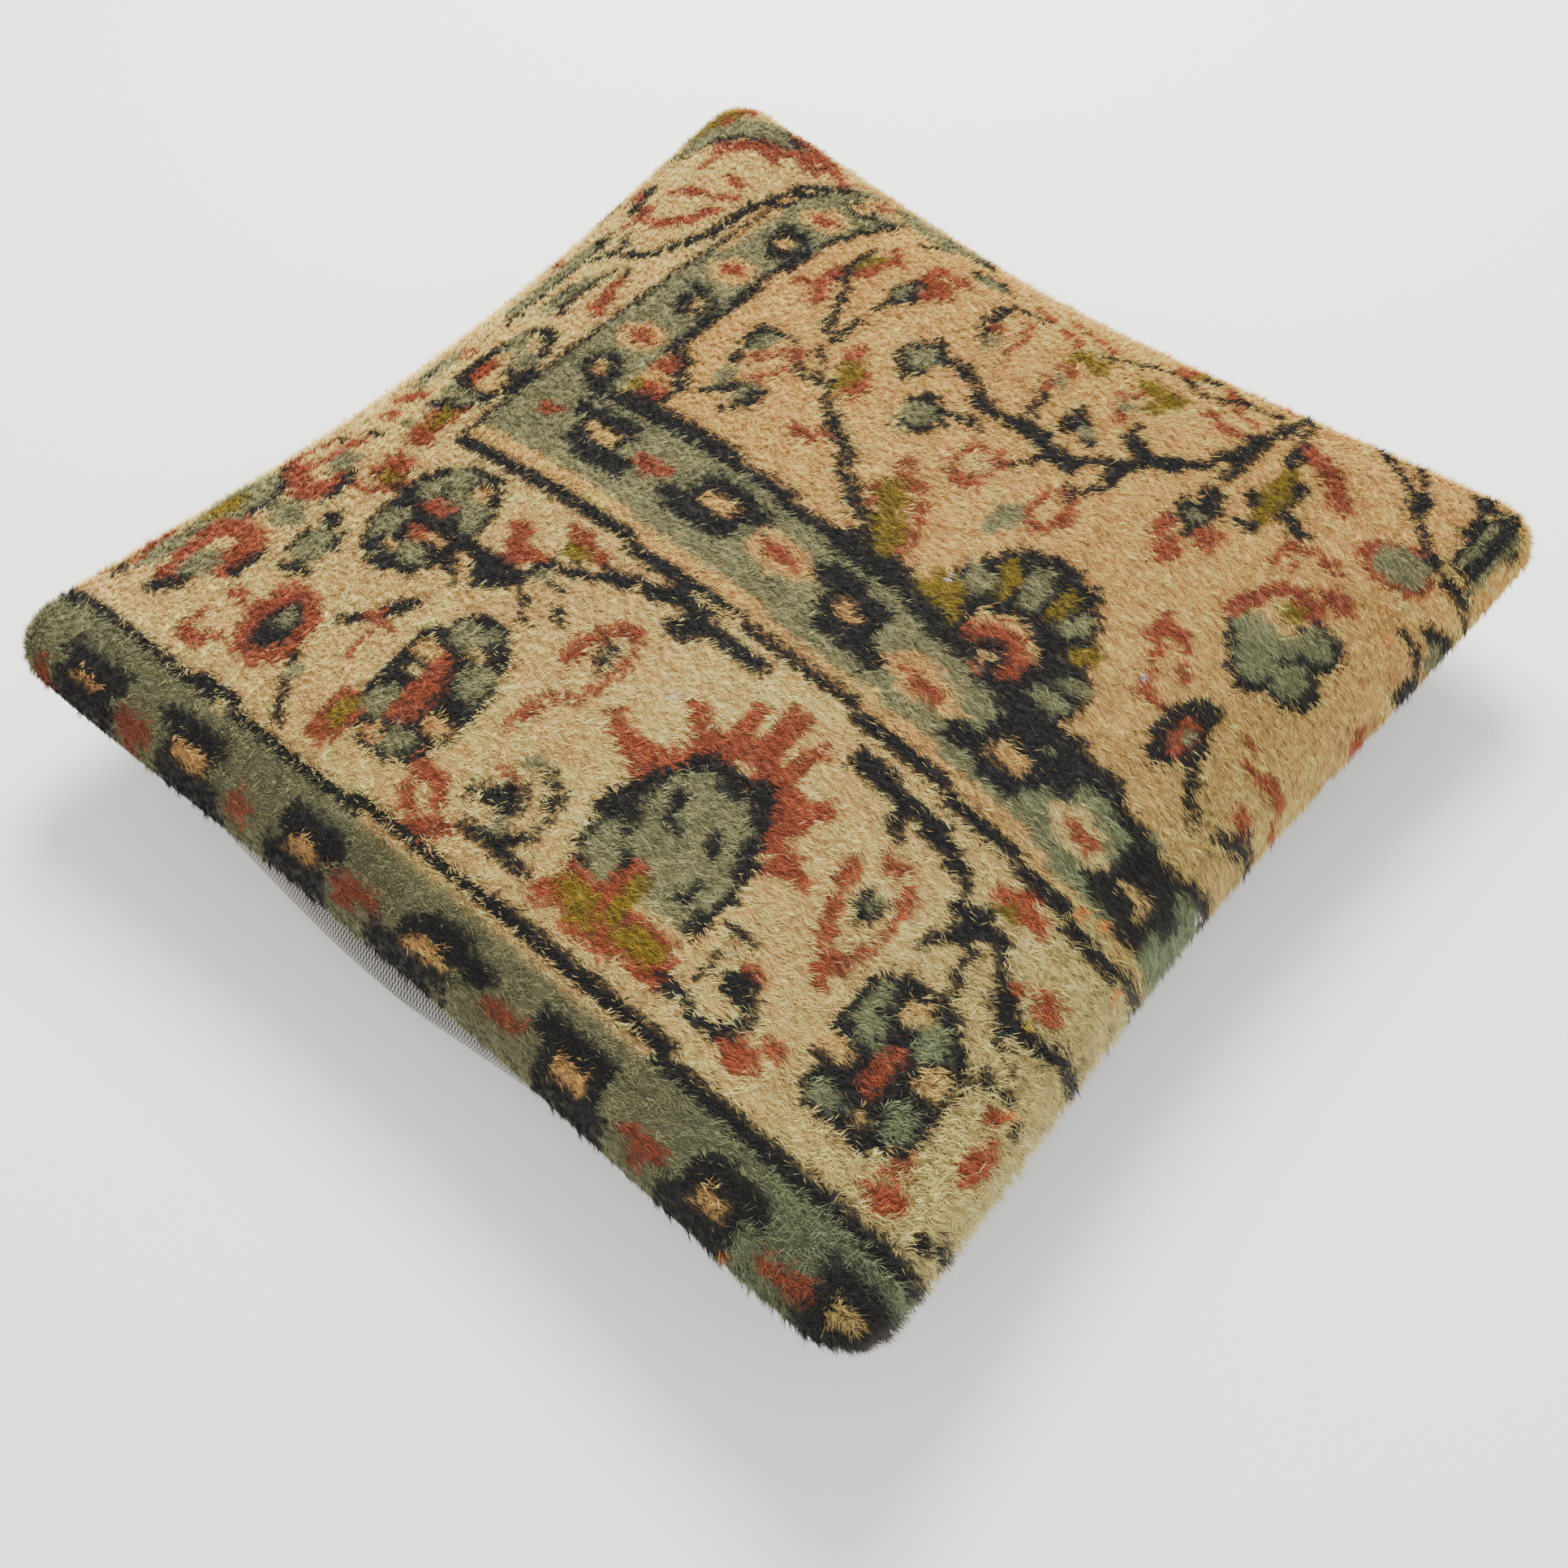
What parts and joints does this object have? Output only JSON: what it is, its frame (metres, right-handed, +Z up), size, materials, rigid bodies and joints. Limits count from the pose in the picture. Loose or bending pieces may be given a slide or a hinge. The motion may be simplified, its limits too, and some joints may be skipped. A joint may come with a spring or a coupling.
{
  "type": "floor cushion",
  "caption": "Square floor cushion: wool pile rug front, cotton back with a zip across it, and a separate filled insert.",
  "frame": {"origin": "on the floor below the middle of the cushion, at the underside's resting face", "axes": "+Z up through the crown of the rug front; X along the zip, which crosses the underside near the +Y side; the slider closes towards -X"},
  "size_m": [0.494, 0.494, 0.124],
  "materials": {
    "wool_pile": "hand-knotted wool pile, brushed, camel and ivory ground with sage, navy black, rust and olive",
    "rug_foundation": "woven cotton warps with wool wefts",
    "back_canvas": "plain-weave cotton, dark and light threads",
    "seam_thread": "twisted polyester sewing thread",
    "zip_tape": "woven polyester tape",
    "zip_coil": "nylon monofilament",
    "zip_metal": "nickel-plated zinc",
    "topstitch_thread": "twisted polyester sewing thread",
    "insert_cotton": "unbleached cotton cambric",
    "hollow_fibre": "loose polyester fibre",
    "closing_thread": "twisted cotton thread"
  },
  "bodies": {
    "cushion": {"rug_pile": "wool_pile", "rug_foundation": "rug_foundation", "back_panel_main": "back_canvas", "back_panel_strip": "back_canvas", "perimeter_seam_thread": "seam_thread", "zip_tape_main": "zip_tape", "zip_tape_strip": "zip_tape", "zip_coil_main": "zip_coil", "zip_coil_strip": "zip_coil", "zip_top_stop_main": "zip_metal", "zip_top_stop_strip": "zip_metal", "zip_bottom_stop": "zip_metal", "topstitch_main": "topstitch_thread", "topstitch_strip": "topstitch_thread", "insert_case_top": "insert_cotton", "insert_case_bottom": "insert_cotton", "insert_filling": "hollow_fibre", "insert_closing_stitch": "closing_thread"},
    "slider": {"zip_slider_body": "zip_metal"},
    "pull_tab": {"zip_pull_tab": "zip_metal"}
  },
  "joints": [
    {"name": "zip_slide", "type": "slide", "parent": "cushion", "child": "slider", "axis": [1, 0, 0], "range_m": [0, 0.3284]},
    {"name": "tab_swing", "type": "hinge", "parent": "slider", "child": "pull_tab", "pos_m": [-0.1642, 0.18547, 0.00463], "axis": [0, 0.9903, 0.1392], "range_deg": [0, 180]}
  ]
}
